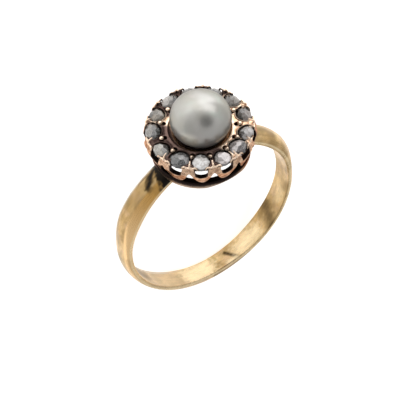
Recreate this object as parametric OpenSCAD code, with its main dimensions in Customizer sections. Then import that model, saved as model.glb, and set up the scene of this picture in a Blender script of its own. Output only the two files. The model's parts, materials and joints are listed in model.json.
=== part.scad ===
// Pearl and rose-cut diamond cluster ring.
// A D-section gold band carries a pierced round gallery with one pearl and a circle of diamonds.
// The ring is drawn about the centre of its finger hole and then laid on its side, as it rests.

/* [Band] */
// Inside diameter of the finger hole
finger_d = 17.5; // [17:0.1:18]
// Straight height of the band's two edges
band_edge = 0.3; // [0.2:0.05:0.5]
// How far each half of the band runs round from the bottom, in degrees
band_end = 157; // [154:1:158]

/* [Gallery] */
// Outer radius of the base ring
base_r = 4.6; // [4.5:0.05:4.7]
// Radius of the gallery wall at its widest
rim_r = 5.28; // [5.2:0.02:5.4]
// Radius of the wall's top edge
crown_r = 5.02; // [4.95:0.01:5.1]
// Thickness of the pierced wall
wall_t = 0.52; // [0.4:0.02:0.6]
// Width of each window under a diamond
window_w = 1.16; // [1:0.02:1.4]

/* [Pearl] */
// Radius of the pearl at its widest
pearl_r = 2.9; // [2.7:0.05:2.95]
// Half of the pearl's height
pearl_half_h = 2.6; // [2.4:0.05:2.7]
// Radius of the peg that the pearl is set on
peg_r = 0.35; // [0.3:0.05:0.5]

/* [Diamonds] */
// Distance of the diamonds' outer ends from the head's axis
stone_edge_r = 5.01; // [4.98:0.01:5.03]
// Height of a diamond above its girdle's lower edge
stone_h = 0.66; // [0.5:0.02:0.8]
// Height of a diamond's girdle
girdle_h = 0.12; // [0.08:0.01:0.16]

/* [Hidden] */
// Band sections from the bottom up: degrees from the bottom, width, thickness at the crown
SECTION_AT = 0;
SECTION_W = 1;
SECTION_T = 2;
BAND = [
    [0, 1.9, 1.42],
    [50, 2.34, 0.72],
    [90, 2.2, 0.84],
    [120, 2.64, 1.25],
    [158, 2.5, 1.15],
];

// Diamonds in turn round the head: place, place of the bead that follows, width, length
STONE_AT = 0;
BEAD_AT = 1;
STONE_W = 2;
STONE_L = 3;
STONES = [
    [-121, -108, 1.58, 1.74],
    [-93.5, -80, 1.54, 1.54],
    [-67.5, -54, 1.7, 1.54],
    [-43, -27.5, 1.64, 1.36],
    [-12.5, -1, 1.66, 1.32],
    [14, 28, 1.6, 1.32],
    [40, 54, 1.58, 1.4],
    [69, 83, 1.66, 1.44],
    [97, 110, 1.72, 1.4],
    [124.5, 137.5, 1.52, 1.4],
    [151.5, 167, 1.9, 1.4],
    [183.5, 196, 1.62, 1.42],
    [211.5, 226.5, 1.86, 1.7],
];
STONE_COUNT = len(STONES);
function two_digits(n) = n < 10 ? str("0", n) : str(n);
function stone_name(k) = str("diamond_", two_digits(k + 1));

finger_r = finger_d / 2;

// Running clearances between loose pieces
dish_gap = 0.2;
stone_gap = 0.03;
peg_gap = 0.05;

// Heights on the head's axis, from the centre of the finger hole
base_z = finger_r - 0.25;
wall_z = base_z + 0.7;
rim_z = base_z + 2.45;
seat_z = base_z + 2.9;
plate_z = base_z + 3.25;
crown_z = base_z + 3.32;
lip_z = base_z + 3.36;
pearl_z = base_z + 4.55;
cup_floor_z = plate_z - 0.55;
cup_shell = 0.3;
cup_stem_r = 1.3;
dish_floor_t = 0.28;
cup_bottom_z = pearl_z - pearl_half_h - dish_gap - dish_floor_t;

// The pearl was glued on a little off the head's axis
pearl_at = [0.12, -0.07];
peg_len = 2;
peg_hole_depth = 1.72;

// Radii on the plate
plate_r = 4.7;
lip_r = 3.16;
lip_w = 0.12;
cup_r = 3.04;
base_inner_r = 3.95;
wall_foot_r = 4.5;
base_chamfer = 0.07;
base_step = 0.1;

// Diamond outline and facets
OUTLINE_N = 12;
outline_taper = 0.17;
mid_scale = 0.68;
mid_rise = 0.62;
table_scale = 0.26;
collar_w = 0.13;
collar_h = 0.12;
light_hole_scale = 0.66;

// Gallery cuts
window_sill_z = base_z + 1.98;
arch_top_z = base_z + 2.6;
WINDOW_N = 10;
// Opening between two hoops: drop below its top, half width there
ARCH_DROP = 0;
ARCH_HALF_W = 1;
ARCH = [
    [0, 0.04],
    [0.06, 0.13],
    [0.22, 0.22],
    [0.62, 0.34],
    [1.05, 0.5],
    [1.41, 0.68],
    [1.85, 0.92],
];

// Small goldwork on the plate
bead_ring_r = 3.72;
bead_r = 0.24;
BEAD_FLAT = 70;
BEAD_STEP = 23;
BEAD_LOW = 45;
bead_lift = 0.06;
pit_ring_r = 3.4;
pit_r = 0.17;
pit_depth = 0.4;
claw_foot_r = 5.06;
claw_tip_r = 4.62;
claw_w = 0.17;
claw_rise = 0.72;
claw_foot_share = 1.35;
claw_tip_share = 0.8;
PIT_N = 8;

// The band's crown is a skin in steps of so many degrees, over a true round lining
BAND_STEP = 6;
CROWN_STEP = 15;
LINING_STEP = 15;
lining_t = 0.3;
lining_inset = 0.03;
lining_stop = 0.5;
crown_foot_r = finger_r + 0.16;

// Facets of fine and small round work, and a length that clears the whole head
fine = 96;
small = 24;
far = 3;
bore_l = 14;

// Lying on its side, the ring touches the floor with the band's lower edge and the head's rim
foot_y = BAND[0][SECTION_W] / 2;
foot_r = finger_r + band_edge;
crown_rise = BAND[0][SECTION_T] - band_edge;
function lay_after(a) = atan((rim_r - norm([foot_y, crown_rise * tan(a)])) / (rim_z + foot_r));
lay = lay_after(lay_after(lay_after(0)));
lift = rim_r * cos(lay) - rim_z * sin(lay);
reach_down = foot_r * cos(lay) + norm([crown_rise * cos(lay), foot_y * sin(lay)]);
reach_up = pearl_z * cos(lay) + pearl_at[1] * sin(lay)
    + norm([pearl_half_h * cos(lay), pearl_r * sin(lay)]);
slide = (reach_up - reach_down) / 2;

function ease(u) = u * u * (3 - 2 * u);

// Smooth value of one column of BAND at an angle from the bottom
function band_value(angle, column, row = 0) =
    angle > BAND[row + 1][SECTION_AT] && row < len(BAND) - 2
    ? band_value(angle, column, row + 1)
    : let (a = BAND[row], b = BAND[row + 1])
      let (u = (angle - a[SECTION_AT]) / (b[SECTION_AT] - a[SECTION_AT]))
      a[column] + (b[column] - a[column]) * ease(u);

// One D-shaped section of the band's crown
function band_section(angle) =
    let (w = band_value(abs(angle), SECTION_W), t = band_value(abs(angle), SECTION_T))
    let (curve = [for (c = [0 : CROWN_STEP : 180])
        [w / 2 * cos(c), finger_r + band_edge + (t - band_edge) * sin(c)]])
    let (outline = concat([[w / 2, crown_foot_r]], curve, [[-w / 2, crown_foot_r]]))
    [for (p = outline) [p[1] * sin(angle), p[0], -p[1] * cos(angle)]];

// Outline of a diamond seen from above, its wide end pointing away from the pearl
function stone_outline(k, grow = 0) =
    [for (i = [0 : OUTLINE_N - 1]) let (a = i * 360 / OUTLINE_N)
        [(STONES[k][STONE_L] / 2 + grow) * cos(a),
         (STONES[k][STONE_W] / 2 + grow) * sin(a) * (1 + outline_taper * cos(a))]];

function raised(outline, z) = [for (p = outline) [p[0], p[1], z]];

// Closed skin through rings of the same number of points
module skin(rings) {
    n = len(rings[0]);
    last = len(rings) - 1;
    sides = [for (i = [0 : last - 1], j = [0 : n - 1])
        let (a = i * n + j, b = i * n + (j + 1) % n)
        each [[a, a + n, b], [b, a + n, b + n]]];
    first_cap = [[for (j = [0 : n - 1]) j]];
    last_cap = [[for (j = [n - 1 : -1 : 0]) last * n + j]];
    polyhedron(points = [for (r = rings) each r], faces = concat(first_cap, sides, last_cap));
}

module round_the_head(angle) {
    rotate([0, 0, angle])
        children();
}

module laid() {
    translate([0, slide, lift])
        rotate([0, 0, 180])
            rotate([lay - 90, 0, 0])
                children();
}

module band_crown() {
    steps = ceil(2 * band_end / BAND_STEP);
    skin([for (i = [0 : steps]) band_section(band_end * (1 - 2 * i / steps))]);
}

// Round lining of the finger hole, as wide as the band at every height
module band_lining() {
    outer = finger_r + lining_t;
    sweep = 2 * (band_end - lining_stop);
    edge = [for (a = [0 : LINING_STEP : 180])
        [band_value(min(a, band_end), SECTION_W) / 2 - lining_inset, -outer * cos(a)]];
    other_edge = [for (i = [len(edge) - 1 : -1 : 0]) [-edge[i][0], edge[i][1]]];
    intersection() {
        rotate([90, 0, 0])
            rotate([0, 0, -90 - sweep / 2])
                rotate_extrude(angle = sweep, $fn = fine)
                    translate([finger_r, -far])
                        square([lining_t, 2 * far]);
        rotate([90, 0, 90])
            linear_extrude(3 * outer, center = true)
                polygon(concat(edge, other_edge));
    }
}

// Base ring, gallery wall, stone plate and pearl cup, turned as one profile
module turned_head() {
    dish = [for (a = [40 : 10 : 90])
        [(pearl_r + dish_gap) * cos(a), pearl_z - (pearl_half_h + dish_gap) * sin(a)]];
    profile = [
        [base_inner_r, base_z],
        [base_r - base_chamfer, base_z],
        [base_r, base_z + base_chamfer],
        [base_r, wall_z - base_step],
        [wall_foot_r, wall_z],
        [rim_r, rim_z],
        [crown_r, crown_z],
        [plate_r, crown_z],
        [plate_r - 0.1, plate_z],
        [lip_r + lip_w, plate_z],
        [lip_r, lip_z],
        [cup_r, lip_z],
        [cup_r, cup_floor_z],
        each dish,
        [0, cup_bottom_z],
        [cup_stem_r, cup_bottom_z],
        [lip_r, cup_floor_z - cup_shell],
        [plate_r, seat_z - cup_shell],
        [rim_r - wall_t, rim_z],
        [wall_foot_r - wall_t, wall_z],
    ];
    rotate_extrude($fn = fine)
        polygon(profile);
}

// Gallery window under one diamond: round below and open to the diamond above
module window(k) {
    r = window_w / 2;
    arc = [for (i = [0 : WINDOW_N]) let (a = 180 + i * 180 / WINDOW_N)
        [r * cos(a), window_sill_z + r + r * sin(a)]];
    round_the_head(STONES[k][STONE_AT])
        translate([plate_r, 0, 0])
            rotate([90, 0, 90])
                linear_extrude(far)
                    polygon(concat([[-r, crown_z + far]], arc, [[r, crown_z + far]]));
}

// Opening between two round hoops of the wall, under one bead
module arch(k) {
    last = len(ARCH) - 1;
    right = [for (row = ARCH) [row[ARCH_HALF_W], arch_top_z - row[ARCH_DROP]]];
    left = [for (i = [last : -1 : 0]) [-ARCH[i][ARCH_HALF_W], arch_top_z - ARCH[i][ARCH_DROP]]];
    round_the_head(STONES[k][BEAD_AT])
        translate([base_inner_r, 0, 0])
            rotate([90, 0, 90])
                linear_extrude(far)
                    polygon(concat(right, left));
}

module at_stone(k) {
    round_the_head(STONES[k][STONE_AT])
        translate([stone_edge_r - STONES[k][STONE_L] / 2, 0, 0])
            children();
}

// Raised gold line round one diamond, kept inside the wall
module collar(k) {
    intersection() {
        at_stone(k)
            translate([0, 0, seat_z - 0.1])
                linear_extrude(plate_z + collar_h - seat_z + 0.1)
                    polygon(stone_outline(k, stone_gap + collar_w));
        cylinder(r = crown_r - 0.08, h = 2 * far * far, $fn = fine);
    }
}

// Seat for one diamond, with a smaller light hole through the plate below it
module seat(k) {
    at_stone(k) {
        translate([0, 0, seat_z])
            linear_extrude(far)
                polygon(stone_outline(k, stone_gap));
        translate([0, 0, seat_z - 1])
            linear_extrude(far)
                polygon(light_hole_scale * stone_outline(k));
    }
}

// Round bead with a small worn flat on top
module bead(k) {
    dome = [for (a = [BEAD_FLAT : -BEAD_STEP : -BEAD_LOW]) [bead_r * cos(a), bead_r * sin(a)]];
    round_the_head(STONES[k][BEAD_AT])
        translate([bead_ring_r, 0, plate_z + bead_lift])
            rotate_extrude($fn = small)
                polygon(concat([[0, -bead_r * sin(BEAD_LOW)], [0, bead_r * sin(BEAD_FLAT)]], dome));
}

// Small drilled pit on the pearl's side of one bead
module pit(k) {
    round_the_head(STONES[k][BEAD_AT])
        translate([pit_ring_r, 0, plate_z - pit_depth])
            linear_extrude(far)
                circle(r = pit_r, $fn = PIT_N);
}

// Claw that rises from one post of the wall and leans in between two diamonds
module claw(k) {
    lean = atan((claw_foot_r - claw_tip_r) / claw_rise);
    reach = norm([claw_foot_r - claw_tip_r, claw_rise]);
    foot_w = claw_w * claw_foot_share;
    tip_r = claw_w * claw_tip_share;
    tip = [for (a = [1 : BEAD_STEP : BEAD_FLAT]) [tip_r * cos(a), reach + tip_r * sin(a)]];
    round_the_head(STONES[k][BEAD_AT])
        translate([claw_foot_r, 0, seat_z - 0.02])
            rotate([0, -lean, 0])
                rotate_extrude($fn = small)
                    polygon(concat([[0, reach + tip_r * sin(BEAD_FLAT)], [0, 0], [foot_w, 0]], tip));
}

module peg() {
    translate([pearl_at[0], pearl_at[1], cup_bottom_z + 0.1])
        cylinder(r = peg_r, h = peg_len, $fn = small);
}

module pierced_head() {
    difference() {
        union() {
            turned_head();
            for (k = [0 : STONE_COUNT - 1])
                collar(k);
        }
        for (k = [0 : STONE_COUNT - 1]) {
            window(k);
            arch(k);
            seat(k);
            pit(k);
        }
    }
}

module finger_hole() {
    rotate([90, 0, 0])
        cylinder(r = finger_r, h = bore_l, center = true, $fn = fine);
}

// The whole head, hollowed below where the finger passes
module setting() {
    difference() {
        union() {
            pierced_head();
            for (k = [0 : STONE_COUNT - 1]) {
                bead(k);
                claw(k);
            }
            peg();
        }
        finger_hole();
    }
}

module band_and_setting() {
    color("#c9a15f")
        laid() {
            band_crown();
            band_lining();
            setting();
        }
}

module pearl() {
    color("#c8c6bd")
        laid()
            translate([pearl_at[0], pearl_at[1], pearl_z])
                difference() {
                    scale([1, 1, pearl_half_h / pearl_r])
                        sphere(r = pearl_r, $fn = fine);
                    translate([0, 0, -pearl_half_h - 1])
                        cylinder(r = peg_r + peg_gap, h = peg_hole_depth + 1, $fn = small);
                }
}

// Rose-cut diamond: flat base, girdle, eighteen lower facets, six upper ones and a small table
module diamond(k) {
    n = OUTLINE_N;
    half = n / 2;
    girdle = stone_outline(k);
    mid = [for (i = [0 : 2 : n - 1]) mid_scale * girdle[i]];
    top = [for (p = mid) p * table_scale / mid_scale];
    base_at = 0;
    girdle_at = n;
    mid_at = 2 * n;
    top_at = mid_at + half;
    points = concat(
        raised(girdle, 0),
        raised(girdle, girdle_h),
        raised(mid, girdle_h + (stone_h - girdle_h) * mid_rise),
        raised(top, stone_h));
    belt = [for (i = [0 : n - 1]) let (j = (i + 1) % n)
        [base_at + i, girdle_at + i, girdle_at + j, base_at + j]];
    lower = [for (i = [0 : half - 1])
        let (j = (i + 1) % half, g = girdle_at + 2 * i, next = girdle_at + (2 * i + 2) % n)
        each [
            [mid_at + i, g + 1, g],
            [mid_at + i, mid_at + j, g + 1],
            [mid_at + j, next, g + 1],
        ]];
    upper = [for (i = [0 : half - 1]) let (j = (i + 1) % half)
        [top_at + i, top_at + j, mid_at + j, mid_at + i]];
    base = [[for (i = [0 : n - 1]) base_at + i]];
    table = [[for (i = [half - 1 : -1 : 0]) top_at + i]];
    color("#b9bec6")
        laid()
            at_stone(k)
                translate([0, 0, seat_z + stone_gap])
                    polyhedron(points = points, faces = concat(base, belt, lower, upper, table));
}

band_and_setting();
pearl();
for (k = [0 : STONE_COUNT - 1])
    diamond(k);
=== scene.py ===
"""Pearl and rose-cut diamond cluster ring, lying on its side on a pale floor.

Everything is modelled in the ring's own frame, in millimetres: x across the finger hole, y along it,
z from the centre of the hole up through the head. place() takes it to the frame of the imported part.
"""

import itertools
import json
from math import atan2, cos, degrees, pi, radians, sin, tau

import bmesh
import bpy
import numpy as np
import openvdb
from mathutils import Matrix, Vector, noise


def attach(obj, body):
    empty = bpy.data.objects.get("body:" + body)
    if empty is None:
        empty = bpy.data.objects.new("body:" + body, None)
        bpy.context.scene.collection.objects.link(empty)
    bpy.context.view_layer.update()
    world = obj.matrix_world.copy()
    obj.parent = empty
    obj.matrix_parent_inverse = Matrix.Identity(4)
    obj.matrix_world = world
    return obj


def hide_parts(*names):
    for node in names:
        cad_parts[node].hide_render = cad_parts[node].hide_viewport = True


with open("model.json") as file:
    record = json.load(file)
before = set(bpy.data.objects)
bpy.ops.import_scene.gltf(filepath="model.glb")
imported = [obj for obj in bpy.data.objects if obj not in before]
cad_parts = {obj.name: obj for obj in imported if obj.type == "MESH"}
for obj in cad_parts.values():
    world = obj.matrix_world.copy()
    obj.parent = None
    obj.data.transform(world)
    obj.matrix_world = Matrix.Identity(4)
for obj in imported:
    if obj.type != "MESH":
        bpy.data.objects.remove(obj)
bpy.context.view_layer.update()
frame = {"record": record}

MM = 0.001

# Sizes of the solids, in mm
FINGER_R = 8.75
BASE_Z = 8.5
BASE_R = 4.6
BASE_INNER_R = 3.95
RIM_R = 5.28
RIM_Z = 10.95
CROWN_R = 5.02
CROWN_Z = 11.82
SEAT_Z = 11.4
PLATE_Z = 11.75
PLATE_R = 4.72
LIP_R = 3.16
CUP_R = 3.04
PEARL_R = 2.9
PEARL_HALF_H = 2.6
STONE_EDGE_R = 5.01
STONE_H = 0.66
BELT_H = 0.3
STONE_GAP = 0.03

# Middle of the pearl, and of the cream spot low on its side, a painted reflection of the gold
PEARL_AT = (0.12, -0.07, 13.05)
CREAM_REFLECTION_AT = (-2.22, -1.77, 12.85)

# Band: degrees from the bottom, width, thickness
BAND = [
    (0, 1.9, 1.42),
    (50, 2.34, 0.72),
    (90, 2.2, 0.84),
    (120, 2.64, 1.25),
    (158, 2.5, 1.15),
]
BAND_EDGE = 0.3
BAND_END = 158.0

# Diamonds: place, place of the bead after it, width, length (degrees and mm)
STONES = [
    (-121, -108, 1.58, 1.74),
    (-93.5, -80, 1.54, 1.54),
    (-67.5, -54, 1.7, 1.54),
    (-43, -27.5, 1.64, 1.36),
    (-12.5, -1, 1.66, 1.32),
    (14, 28, 1.6, 1.32),
    (40, 54, 1.58, 1.4),
    (69, 83, 1.66, 1.44),
    (97, 110, 1.72, 1.4),
    (124.5, 137.5, 1.52, 1.4),
    (151.5, 167, 1.9, 1.4),
    (183.5, 196, 1.62, 1.42),
    (211.5, 226.5, 1.86, 1.7),
]

BEADS = [bead_at for _, bead_at, _, _ in STONES]

# Looks of each diamond, which paint reflections and shade into its facets: dark tone, light tone, direction
# of its light facets, how far they spread to each side in degrees, how light the table is, and how far the
# table sits outward and sideways in mm
STONE_LOOKS = [
    ((0.36, 0.35, 0.33), (0.88, 0.87, 0.86), -150, 130, 0.75, (0.05, 0.05)),
    ((0.11, 0.09, 0.075), (0.84, 0.77, 0.765), -35, 90, 0.85, (-0.08, -0.16)),
    ((0.09, 0.08, 0.08), (0.53, 0.48, 0.47), 115, 90, 0.85, (0.08, 0.1)),
    ((0.08, 0.072, 0.068), (0.42, 0.395, 0.38), -45, 110, 0.7, (0.05, -0.12)),
    ((0.018, 0.013, 0.011), (0.28, 0.235, 0.21), -70, 70, 0.3, (-0.1, 0.16)),
    ((0.030, 0.023, 0.018), (0.32, 0.28, 0.24), -110, 110, 0.5, (0.12, 0.0)),
    ((0.04, 0.035, 0.03), (0.19, 0.18, 0.165), 30, 90, 0.5, (0.0, 0.1)),
    ((0.045, 0.04, 0.034), (0.20, 0.19, 0.175), 150, 90, 0.5, (0.1, 0.0)),
    ((0.06, 0.052, 0.045), (0.45, 0.42, 0.39), -170, 75, 0.6, (0.0, -0.1)),
    ((0.035, 0.029, 0.023), (0.52, 0.46, 0.38), -80, 65, 0.2, (0.1, 0.05)),
    ((0.028, 0.025, 0.021), (0.26, 0.245, 0.22), 160, 85, 0.4, (-0.1, -0.16)),
    ((0.028, 0.021, 0.015), (0.44, 0.42, 0.37), 175, 95, 0.85, (0.0, -0.16)),
    ((0.018, 0.018, 0.018), (0.30, 0.29, 0.29), -20, 80, 0.85, (0.0, 0.2)),
]

# The photo's camera, in the ring's own frame: direction, roll, distance in mm and pixels per mm there
VIEW_AZIMUTH = -29.729
VIEW_ELEVATION = 50.362
VIEW_ROLL = -3.839
VIEW_DISTANCE = 286.93
PX_PER_MM = 10.523
PHOTO_SIDE = 400
ORIGIN_PX = (205.14, 208.94)
SENSOR_MM = 36.0

# Lights: name, direction as the camera sees it, distance in metres, width and height in metres, watts
LIGHTS = [
    ("top_softbox", (0.13, 0.79, 0.60), 0.4, (0.62, 0.20), 0.6),
]
# Dimmer parts of the world, round a direction that the camera sees and low in its view. Each range
# is the cosines and the strengths that it runs between.
DIM_AT = (0.33, -0.01, 0.95)
DIM_RANGE = (0.85, 0.975, 1.0, 0.0)
LOW_RANGE = (-0.7, 0.6, 0.66, 0.95)
# Glow of the floor, and of a brighter pool of light on it that the pearl's top reflects: strengths,
# direction as the camera sees it, and the distances in mm over which it fades
FLOOR_GLOW = 0.62
POOL_GLOW = 2.0
POOL_TOWARD = (0.06, 0.90, 0.40)
POOL_REACH = (12, 60)
FLOOR_SIZE = 4.0
CLIP = (0.005, 10.0)

RNG = np.random.default_rng(7)


def turn_to(x_axis, y_axis, z_axis):
    """Matrix that turns the three axes to these directions."""
    return Matrix((x_axis, y_axis, z_axis)).transposed().to_4x4()


def ring_frame():
    """Matrix from the ring's own frame, in mm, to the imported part's frame, in metres."""
    mount = next(m for m in frame["record"]["mounts"] if m["name"] == "finger_hole")
    y_axis = -Vector(mount["axis"]).normalized()
    x_axis = Vector((-1, 0, 0))
    z_axis = x_axis.cross(y_axis)
    turn = turn_to(x_axis, y_axis, z_axis)
    return Matrix.Translation(Vector(mount["pos_m"])) @ turn @ Matrix.Scale(MM, 4)


RING = ring_frame()
RING_NP = np.array(RING)


def view_axes():
    """Right, up and back of the photo's camera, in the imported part's frame."""
    a, e, r = (radians(v) for v in (VIEW_AZIMUTH, VIEW_ELEVATION, VIEW_ROLL))
    back = Vector((sin(a) * cos(e), -cos(a) * cos(e), sin(e)))
    level = Vector((cos(a), sin(a), 0))
    upright = back.cross(level)
    right = cos(r) * level + sin(r) * upright
    up = cos(r) * upright - sin(r) * level
    turn = RING.to_3x3() * (1 / MM)
    return [turn @ v for v in (right, up, back)]


VIEW_AXES = view_axes()


def seen_direction(right, up, back):
    """A direction given as the photo's camera sees it: so much right, up and towards the camera."""
    return sum((axis * part for axis, part in zip(VIEW_AXES, (right, up, back))), Vector()).normalized()


def place(points):
    """Points of the ring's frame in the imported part's frame."""
    points = np.asarray(points, float)
    return points @ RING_NP[:3, :3].T + RING_NP[:3, 3]


def ease(u):
    """Smooth step from 0 to 1."""
    return u * u * (3 - 2 * u)


def add_object(name, data):
    """A new object in the scene."""
    added = bpy.data.objects.new(name, data)
    bpy.context.scene.collection.objects.link(added)
    return added


def add_piece(name, points, faces, node_names, smooth=True):
    """A mesh piece from points in the ring's frame."""
    mesh = bpy.data.meshes.new(name)
    mesh.from_pydata(place(points).tolist(), [], [tuple(f) for f in faces])
    mesh.polygons.foreach_set("use_smooth", [smooth] * len(mesh.polygons))
    mesh.update()
    piece = add_object(name, mesh)
    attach(piece, "root")
    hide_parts(*node_names)
    return piece


def tube_faces(first, rows, n):
    """Quads between closed rows of n points, from point number first on."""
    faces = []
    for k in range(rows - 1):
        for j in range(n):
            a = first + k * n + j
            b = first + k * n + (j + 1) % n
            faces.append((a, b, b + n, a + n))
    return faces


def add_values(piece, name, values, domain="POINT"):
    """Stores four numbers a point or a face, which a material reads by name."""
    layer = piece.data.color_attributes if domain == "POINT" else piece.data.attributes
    attribute = layer.new(name, "FLOAT_COLOR", domain)
    attribute.data.foreach_set("color", np.asarray(values, np.float32).ravel())


class Shader:
    """Small helper that builds the nodes of a material or of the world."""

    def __init__(self, owner, end="Principled BSDF"):
        owner.use_nodes = True
        self.owner = owner
        self.nodes = owner.node_tree.nodes
        self.links = owner.node_tree.links
        self.end = self.nodes[end]

    def feed(self, node, values):
        """Links or sets a node's inputs, by their number or name. Colours may leave out their alpha."""
        for key, value in values.items():
            socket = node.inputs[key if isinstance(key, int) else key.replace("_", " ")]
            if isinstance(value, bpy.types.NodeSocket):
                self.links.new(value, socket)
            elif socket.type == "RGBA":
                socket.default_value = (*value, 1)
            else:
                socket.default_value = value

    def node(self, kind, *values, settings=None, **named):
        """A new node, with its first inputs given in order and others by name."""
        node = self.nodes.new(kind)
        for key, value in (settings or {}).items():
            setattr(node, key, value)
        self.feed(node, dict(enumerate(values)))
        self.feed(node, named)
        return node

    def math(self, operation, *values):
        return self.node("ShaderNodeMath", *values, settings={"operation": operation}).outputs[0]

    def times(self, *values):
        """Product of all the values."""
        product = values[0]
        for value in values[1:]:
            product = self.math("MULTIPLY", product, value)
        return product

    def measure(self, operation, a, b):
        """One number from two vectors, such as their distance."""
        node = self.node("ShaderNodeVectorMath", a, b, settings={"operation": operation})
        return node.outputs["Value"]

    def mix(self, factor, a, b, blend="MIX"):
        node = self.node("ShaderNodeMix", factor, settings={"data_type": "RGBA", "blend_type": blend})
        self.feed(node, {6: a, 7: b})
        return node.outputs[2]

    def ramp(self, *value_and_ends):
        """Smooth step of a value between two limits, from 0 to 1 or between two numbers given last."""
        settings = {"interpolation_type": "SMOOTHSTEP"}
        return self.node("ShaderNodeMapRange", *value_and_ends, settings=settings).outputs[0]

    def channels(self, name):
        """The four numbers that add_values stored under a name."""
        stored = self.node("ShaderNodeAttribute", settings={"attribute_name": name})
        split = self.node("ShaderNodeSeparateColor", stored.outputs["Color"])
        return (*split.outputs, stored.outputs["Alpha"])

    def position(self, scale=(1, 1, 1)):
        """Place on the piece in mm, stretched by scale."""
        here = self.node("ShaderNodeTexCoord").outputs["Object"]
        return self.node("ShaderNodeMapping", here, Scale=[s / MM for s in scale]).outputs[0]

    def noise(self, vector, scale, detail=3.0, roughness=0.55, distortion=0.0):
        return self.node("ShaderNodeTexNoise", Vector=vector, Scale=scale, Detail=detail,
                         Roughness=roughness, Distortion=distortion).outputs[0]

    def bump(self, height, strength, distance_mm, **under):
        return self.node("ShaderNodeBump", strength, distance_mm * MM, Height=height, **under).outputs[0]

    def finish(self, **inputs):
        """Feeds the last node, and returns the material or world."""
        self.feed(self.end, inputs)
        return self.owner


def new_shader(name):
    return Shader(bpy.data.materials.new(name))


# Yellow gold of the band: its colours, with painted shade, highlights and reflections, and how often its
# marks repeat along and across it
GOLD_TONES = ((0.47, 0.305, 0.125), (0.66, 0.462, 0.23))
GOLD_ROSE = (0.62, 0.42, 0.25)
GOLD_GREEN = (0.44, 0.33, 0.14)
FLANK_REFLECTION_TONES = ((0.62, 0.35, 0.10), (0.92, 0.62, 0.31))
EDGE_HIGHLIGHT_PALE = (0.66, 0.60, 0.50)
BOTTOM_ROSE = (0.66, 0.50, 0.33)
STAIN_AND_SHADE_BROWN = (0.20, 0.125, 0.045)
STAIN_AND_SHADE_BLACK = (0.016, 0.013, 0.010)
GOLD_WORN_AND_HIGHLIGHT = (1.0, 0.80, 0.49)
HAIR_REPEATS = (22.0, 130.0)
STREAK_REPEATS = (36.0, 5.0)


def band_marks(s, along, across, repeats, detail):
    """Noise drawn out along the band."""
    spread = s.node("ShaderNodeCombineXYZ", s.times(along, repeats[0]), s.times(across, repeats[1]))
    return s.noise(spread.outputs[0], 1.0, detail, 0.6)


def gold_material():
    """Worn yellow gold: glossy satin with fine scratches, stained brown to black by the head, with painted
    shade and dark reflections there and painted highlights and reflections elsewhere.
    """
    s = new_shader("worn_yellow_gold_and_painted_light")
    along, across, stain_and_shade, worn_and_lit = s.channels("band_wear_and_painted_light")
    hairs = band_marks(s, along, across, HAIR_REPEATS, 2.0)
    streaks = band_marks(s, along, across, STREAK_REPEATS, 3.0)
    clouds = s.noise(s.position(), 0.32, 3.0, 0.55)
    tints = s.noise(s.position(), 0.75, 2.0, 0.5)
    tone = s.mix(s.ramp(clouds, 0.35, 0.65), *GOLD_TONES)
    tone = s.mix(s.ramp(tints, 0.52, 0.7, 0.0, 0.6), tone, GOLD_ROSE)
    tone = s.mix(s.ramp(tints, 0.46, 0.3, 0.0, 0.5), tone, GOLD_GREEN)
    grain = s.times(s.ramp(streaks, 0.32, 0.68, 0.78, 1.18), s.ramp(hairs, 0.3, 0.7, 0.94, 1.06))
    grey = s.node("ShaderNodeCombineColor", grain, grain, grain).outputs[0]
    tone = s.mix(1.0, tone, grey, "MULTIPLY")
    # A painted reflection lightens a flank and a painted highlight one edge, and the bottom takes a lighter
    # rose tint
    flank = s.times(s.ramp(across, 0.32, 0.24), s.ramp(along, 0.05, 0.08), s.ramp(along, 0.38, 0.28))
    tone = s.mix(flank, tone, s.mix(s.ramp(along, 0.10, 0.21), *FLANK_REFLECTION_TONES))
    edge = s.times(s.ramp(across, 0.72, 0.80), s.ramp(along, 0.46, 0.40))
    tone = s.mix(edge, tone, EDGE_HIGHLIGHT_PALE)
    bottom = s.times(s.ramp(along, 0.30, 0.38), s.ramp(along, 0.52, 0.46))
    tone = s.mix(s.times(bottom, 0.45), tone, BOTTOM_ROSE)
    # Stains and painted shade are streaky, brown where thin and black where thick
    cover = s.math("ADD", stain_and_shade, s.times(s.math("SUBTRACT", streaks, 0.5), stain_and_shade, 0.7))
    brown = s.ramp(cover, 0.1, 0.75)
    tone = s.mix(s.times(brown, 0.85), tone, STAIN_AND_SHADE_BROWN)
    tone = s.mix(s.ramp(cover, 0.45, 1.0), tone, STAIN_AND_SHADE_BLACK)
    # Bright worn parts and painted highlights
    tone = s.mix(s.times(worn_and_lit, grain, 0.85), tone, GOLD_WORN_AND_HIGHLIGHT)
    rough = s.math("ADD", s.ramp(hairs, 0.3, 0.7, 0.22, 0.34), s.times(brown, 0.12))
    relief = s.bump(hairs, 0.1, 0.004)
    return s.finish(Base_Color=tone, Metallic=1.0, Roughness=rough, Normal=relief)


# Rose gold of the head: bare, worn and highlighted, tarnished, with painted shade, and the colour of its
# reflections at a grazing angle
ROSE_TONES = ((0.38, 0.205, 0.12), (0.82, 0.535, 0.35))
ROSE_WORN_AND_HIGHLIGHT = (1.0, 0.80, 0.62)
TARNISH_AND_SHADE_TONES = ((0.014, 0.008, 0.007), (0.042, 0.024, 0.021))
TARNISH_FLECK = (0.15, 0.085, 0.07)
TARNISH_EDGE = (0.38, 0.25, 0.21)
RECESS_SHADE_RED = (0.075, 0.027, 0.017)
SHADE_BLACK = (0.006, 0.004, 0.0035)
ROSE_GRAZING = (0.55, 0.35, 0.29)


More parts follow.
